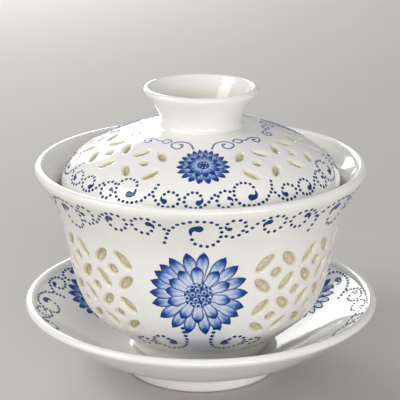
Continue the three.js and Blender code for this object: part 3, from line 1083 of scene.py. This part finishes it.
class GAIWAN_OT_saucer(bpy.types.Operator):
    """Turn the saucer, with its well, its flared rim and its foot ring"""

    bl_idname = "gaiwan.saucer"
    bl_label = "Saucer"

    def execute(self, context):
        rows = rows_up(SAUCER_WALL, first=8, last=12, fine=1.0, coarse=1.0)
        bm = turned_wall(SAUCER_WALL, SAUCER_COLUMNS, rows)
        finished("saucer_glazed_dish", bm, "saucer", [white()], ["saucer_dish"])
        edge = half_round(*SAUCER_FOOT_EDGE, bulge=FOOT_EDGE_BULGE)
        ring = turned_ring(SAUCER_FOOT_INNER + edge + SAUCER_FOOT_OUTER, FOOT_STEPS)
        finished("saucer_glazed_foot", ring, "saucer", [white()], ["saucer_foot_ring"])
        sole = turned_ring(half_round(*SAUCER_SOLE, bulge=0.5, steps=10), SOLE_STEPS)
        finished("saucer_bare_sole", sole, "saucer", [bare()])
        return {"FINISHED"}


class GAIWAN_OT_bowl(bpy.types.Operator):
    """Turn and pierce the bowl, and give it its foot ring"""

    bl_idname = "gaiwan.bowl"
    bl_label = "Bowl"

    def execute(self, context):
        first = BOWL_ROWS[0] - BOWL_MARGIN
        last = BOWL_ROWS[-1] + BOWL_MARGIN
        rows = rows_up(BOWL_WALL, first, last, fine=BOWL_PITCH, coarse=1.5)
        columns = context.scene.gaiwan.wall_columns
        bm = turned_wall(BOWL_WALL, columns, rows, BOWL_WINDOWS, BOWL_PITCH, BOWL_WALL_THICKNESS)
        finished("bowl_pierced_wall", bm, "bowl", [white()], ["bowl_wall"])
        edge = half_round(*BOWL_FOOT_EDGE, bulge=FOOT_EDGE_BULGE)
        ring = turned_ring(BOWL_FOOT_INNER + edge + BOWL_FOOT_OUTER, FOOT_STEPS)
        finished("bowl_glazed_foot", ring, "bowl", [white()], ["bowl_foot_ring"])
        sole = turned_ring(half_round(*BOWL_SOLE, bulge=0.4, steps=10), SOLE_STEPS)
        finished("bowl_bare_sole", sole, "bowl", [bare()])
        return {"FINISHED"}


class GAIWAN_OT_lid(bpy.types.Operator):
    """Turn and pierce the lid, and give it its ring-shaped knob"""

    bl_idname = "gaiwan.lid"
    bl_label = "Lid"

    def execute(self, context):
        first = LID_ROWS[-1] - LID_MARGIN
        last = LID_ROWS[0] + LID_MARGIN
        rows = rows_up(LID_SHELL, first, last, fine=LID_PITCH, coarse=1.2)
        columns = context.scene.gaiwan.wall_columns - LID_FEWER_COLUMNS
        bm = turned_wall(LID_SHELL, columns, rows, LID_WINDOWS, LID_PITCH, LID_WALL)
        finished("lid_pierced_dome", bm, "lid", [white()], ["lid_dome"])
        profile = [tuple(p) for p in evenly(KNOB_OUTSIDE, 18)]
        profile += half_round(*KNOB_LIP, bulge=1.0, steps=12)[1:-1]
        profile += [tuple(p) for p in evenly(KNOB_HOLLOW, 14)]
        ring = turned_ring(profile, KNOB_STEPS)
        self.shade_in_hollow(ring)
        finished("lid_ring_knob", ring, "lid", [white()], ["lid_knob_ring"])
        return {"FINISHED"}

    def shade_in_hollow(self, ring):
        """Paint shade inside the knob's hollow: a cream and olive tint, stronger towards the bottom."""
        glaze_pool_and_shade = ring.verts.layers.float.new("glaze_pool_and_shade")
        ring.normal_update()
        for vert in ring.verts:
            if vert.normal.x * vert.co.x + vert.normal.y * vert.co.y < 0:
                share = (KNOB_TOP - vert.co.z / MM) / HOLLOW_SHADE_DEPTH
                vert[glaze_pool_and_shade] = HOLLOW_SHADE * min(1.0, max(0.0, share))


class GAIWAN_OT_window_glaze(bpy.types.Operator):
    """Stretch a dished skin of glaze across every window of the bowl and the lid"""

    bl_idname = "gaiwan.window_glaze"
    bl_label = "Window glaze"

    def execute(self, context):
        glaze = material_for("Pooled olive glaze", window_glaze)
        sets = (
            ("bowl_window_skins", BOWL_WALL, BOWL_WINDOWS, BOWL_WALL_THICKNESS, "bowl", "bowl_window_glaze"),
            ("lid_window_skins", LID_SHELL, LID_WINDOWS, LID_WALL, "lid", "lid_window_glaze"),
        )
        for name, wall, windows, thickness, body, node in sets:
            bm = bmesh.new()
            rim = bm.verts.layers.float.new("rim")
            for window in windows:
                self.skin(bm, rim, window, thickness)
            lay_on(bm, wall, by_depth=True)
            bmesh.ops.recalc_face_normals(bm, faces=bm.faces)
            finished(name, bm, body, [glaze], [node])
        return {"FINISHED"}

    def skin(self, bm, rim, window, thickness):
        """One skin: dished in front, where it climbs the sides, and nearly flat behind."""
        made = bmesh.ops.create_uvsphere(bm, u_segments=20, v_segments=8, radius=1)["verts"]
        power = GRAIN_POINTEDNESS
        for vert in made:
            x, y, front = vert.co
            distance = math.hypot(x, y)
            scale = 0.0
            if distance > 1e-6:
                scale = (abs(x / distance) ** power + abs(y / distance) ** power) ** (-1 / power)
            along = x * scale * window.half[0]
            across = y * scale * window.half[1]
            vert.co.x, vert.co.y = window.inset(along, across, SKIN_INSET)
            if abs(front) < 1e-4:
                depth = SKIN_EDGE_DEPTH
            elif front > 0:
                depth = SKIN_FRONT_DEPTH - SKIN_CLIMB * distance ** 3
            else:
                depth = thickness - SKIN_BACK_GAP + SKIN_BACK_SAG * distance ** 3
            vert.co.z = depth / thickness
            vert[rim] = distance


class GAIWAN_OT_bowl_painting(bpy.types.Operator):
    """Paint the bowl: its border, its three flowers and the curls under them"""

    bl_idname = "gaiwan.bowl_painting"
    bl_label = "Bowl painting"

    def execute(self, context):
        settings = context.scene.gaiwan
        brush = Brush(BOWL_WALL, settings.paint_thickness / MM)
        dot = settings.dot_radius / MM
        border(brush, up_the_bowl(BOWL_BORDER_UP), BOWL_BORDER, scale=1.0, dot_radius=dot, pitch=1.9)
        points, head = LOWER_DROP
        for azimuth in BOWL_FLOWERS:
            turn = math.radians(azimuth)
            large_flower(brush, Spot(BOWL_WALL, turn, up_the_bowl(BOWL_FLOWER_UP)))
            for side in (1, -1):
                spot = Spot(BOWL_WALL, turn, up_the_bowl(LOWER_MIDDLE), sway=side)
                for curl in (LOWER_CURL, LOWER_SIDE_CURL):
                    for x, y in every([(x, y - LOWER_MIDDLE) for x, y in curl], 1.65):
                        brush.dot(spot, x, y, dot)
                brush.drop(spot, [(x, y - LOWER_MIDDLE) for x, y in points], head)
        brush.finish("bowl_cobalt_painting", "bowl", paints())
        return {"FINISHED"}


class GAIWAN_OT_lid_painting(bpy.types.Operator):
    """Paint the lid: its border, its three flowers and the fine scrolls round its knob"""

    bl_idname = "gaiwan.lid_painting"
    bl_label = "Lid painting"

    def execute(self, context):
        settings = context.scene.gaiwan
        dot = settings.dot_radius / MM
        brush = Brush(LID_SHELL, settings.paint_thickness / MM)
        reach = up_the_lid(LID_BORDER_UP)
        border(brush, reach, around(20, 7), scale=0.72, dot_radius=dot * 0.8, pitch=1.35, turned=True)
        for azimuth in LID_FLOWERS:
            turn = math.radians(azimuth)
            small_flower(brush, Spot(LID_SHELL, turn, up_the_lid(LID_FLOWER_UP)), LID_FLOWER_SIZE)
        brush.finish("lid_cobalt_painting", "lid", paints())
        fine = Brush(LID_SHELL, settings.paint_thickness / MM)
        for azimuth in LID_FLOWERS:
            turn = math.radians(azimuth)
            for side in (1, -1):
                spot = Spot(LID_SHELL, turn, up_the_lid(WING_MIDDLE), sway=side)
                for curl in LID_WING:
                    for x, y in every(self.in_mm(spot, curl), 0.6):
                        fine.dot(spot, x, y, 0.34, segments=8)
                for drop in LID_WING_DROPS:
                    fine.drop(spot, self.in_mm(spot, drop), 0.45)
        pale = "Cobalt line, watered"
        paint = material_for(pale, cobalt, pale, WATERED_LINE, WATERED_LINE_DEEP, 0.8)
        fine.finish("lid_fine_scrolls", "lid", [paint])
        return {"FINISHED"}

    def in_mm(self, spot, points):
        """Places of the fine scroll, as mm round the lid and up it from the scroll's middle."""
        return [(math.radians(degrees) * spot.radius, y - WING_MIDDLE) for degrees, y in points]


class GAIWAN_OT_saucer_painting(bpy.types.Operator):
    """Paint the inside of the saucer: its border and its three flowers"""

    bl_idname = "gaiwan.saucer_painting"
    bl_label = "Saucer painting"

    def execute(self, context):
        settings = context.scene.gaiwan
        dot = settings.dot_radius / MM
        brush = Brush(SAUCER_WALL, settings.paint_thickness / MM)
        reach = SAUCER_WALL.reach_at_radius(SAUCER_BORDER_RADIUS)
        border(brush, reach, around(12, 7), scale=0.76, dot_radius=dot * 0.85, pitch=1.3)
        reach = SAUCER_WALL.reach_at_radius(SAUCER_FLOWER_RADIUS)
        for azimuth in SAUCER_FLOWERS:
            spot = Spot(SAUCER_WALL, math.radians(azimuth), reach)
            small_flower(brush, spot, SAUCER_FLOWER_SIZE)
        brush.finish("saucer_cobalt_painting", "saucer", paints(), inside=True)
        return {"FINISHED"}


# Each soft light: its name, its place and its size in metres, and its strength.

SOFTBOXES = (
    ("back_window", (-0.3, 0.95, 0.36), (0.5, 0.6), 1.05),
    ("left_softbox", (-0.6, -0.15, 0.5), (0.4, 0.4), 0.5),
    ("front_fill", (0.28, -0.96, 0.27), (1.1, 0.45), 1.3),
)
ROOM_STRENGTH = 0.46
CAMERA_PLACE = (-0.0003, -0.434, 0.190)
CAMERA_TILT = 72.53            # degrees up from straight down
CAMERA_LENS = 134.4            # mm, on a sensor 36 mm wide
MIDDLE_OF_BOWL = (0, 0, 0.05)  # what the lights face
TABLE_HALF_WIDTH = 4           # metres


class GAIWAN_OT_stage(bpy.types.Operator):
    """Set the pale table, the soft lights and the camera"""

    bl_idname = "gaiwan.stage"
    bl_label = "Stage"

    def execute(self, context):
        settings = context.scene.gaiwan
        bm = bmesh.new()
        bmesh.ops.create_grid(bm, x_segments=1, y_segments=1, size=TABLE_HALF_WIDTH)
        mesh = bpy.data.meshes.new("table_top")
        bm.to_mesh(mesh)
        bm.free()
        table = bpy.data.objects.new("table_top", mesh)
        context.scene.collection.objects.link(table)
        mesh.materials.append(pale_table(settings.table_colour))
        table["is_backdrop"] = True

        for name, place, size, strength in SOFTBOXES:
            self.softbox(context, name, place, size, settings.light_power * strength)

        world = bpy.data.worlds.new("pale_room")
        context.scene.world = world
        world.use_nodes = True
        background = world.node_tree.nodes["Background"]
        background.inputs["Color"].default_value = linear(ROOM_LIGHT)
        background.inputs["Strength"].default_value = ROOM_STRENGTH

        # Shows white glaze as white: the default transform would grey it.
        context.scene.view_settings.view_transform = "Standard"

        camera = bpy.data.objects.new("camera", bpy.data.cameras.new("camera"))
        camera.location = CAMERA_PLACE
        camera.rotation_euler = (math.radians(CAMERA_TILT), 0, 0)
        camera.data.lens = CAMERA_LENS
        camera.data.sensor_width = 36
        camera.data.clip_start = 0.01
        context.scene.collection.objects.link(camera)
        context.scene.camera = camera
        return {"FINISHED"}

    def softbox(self, context, name, place, size, power):
        """A soft rectangular light that faces the bowl."""
        light = bpy.data.lights.new(name, "AREA")
        light.shape = "RECTANGLE"
        light.size, light.size_y = size
        light.energy = power
        lamp = bpy.data.objects.new(name, light)
        lamp.location = place
        aim = Vector(MIDDLE_OF_BOWL) - Vector(place)
        lamp.rotation_euler = aim.to_track_quat("-Z", "Y").to_euler()
        context.scene.collection.objects.link(lamp)


OPERATORS = (
    GAIWAN_OT_saucer, GAIWAN_OT_bowl, GAIWAN_OT_lid, GAIWAN_OT_window_glaze,
    GAIWAN_OT_bowl_painting, GAIWAN_OT_lid_painting, GAIWAN_OT_saucer_painting, GAIWAN_OT_stage,
)


class GAIWAN_PT_panel(bpy.types.Panel):
    """Lists the steps that make the gaiwan"""

    bl_idname = "GAIWAN_PT_panel"
    bl_label = "Gaiwan"
    bl_space_type = "VIEW_3D"
    bl_region_type = "UI"
    bl_category = "Gaiwan"

    def draw(self, context):
        settings = context.scene.gaiwan
        for name in GaiwanSettings.__annotations__:
            self.layout.prop(settings, name)
        for operator in OPERATORS:
            self.layout.operator(operator.bl_idname)


CLASSES = (GaiwanSettings,) + OPERATORS + (GAIWAN_PT_panel,)


def register():
    for each in CLASSES:
        bpy.utils.register_class(each)
    bpy.types.Scene.gaiwan = PointerProperty(type=GaiwanSettings)


def unregister():
    del bpy.types.Scene.gaiwan
    for each in reversed(CLASSES):
        bpy.utils.unregister_class(each)


def plain(value):
    """Nested vectors as plain lists of numbers."""
    return [plain(item) for item in value] if hasattr(value, "__len__") else float(value)


def main():
    """Make every piece and the stage."""
    register()
    bpy.ops.gaiwan.saucer()
    bpy.ops.gaiwan.bowl()
    bpy.ops.gaiwan.lid()
    bpy.ops.gaiwan.window_glaze()
    bpy.ops.gaiwan.bowl_painting()
    bpy.ops.gaiwan.lid_painting()
    bpy.ops.gaiwan.saucer_painting()
    bpy.ops.gaiwan.stage()
    plain(cad_box)
    plain(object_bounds())


if __name__ == "__main__":
    main()
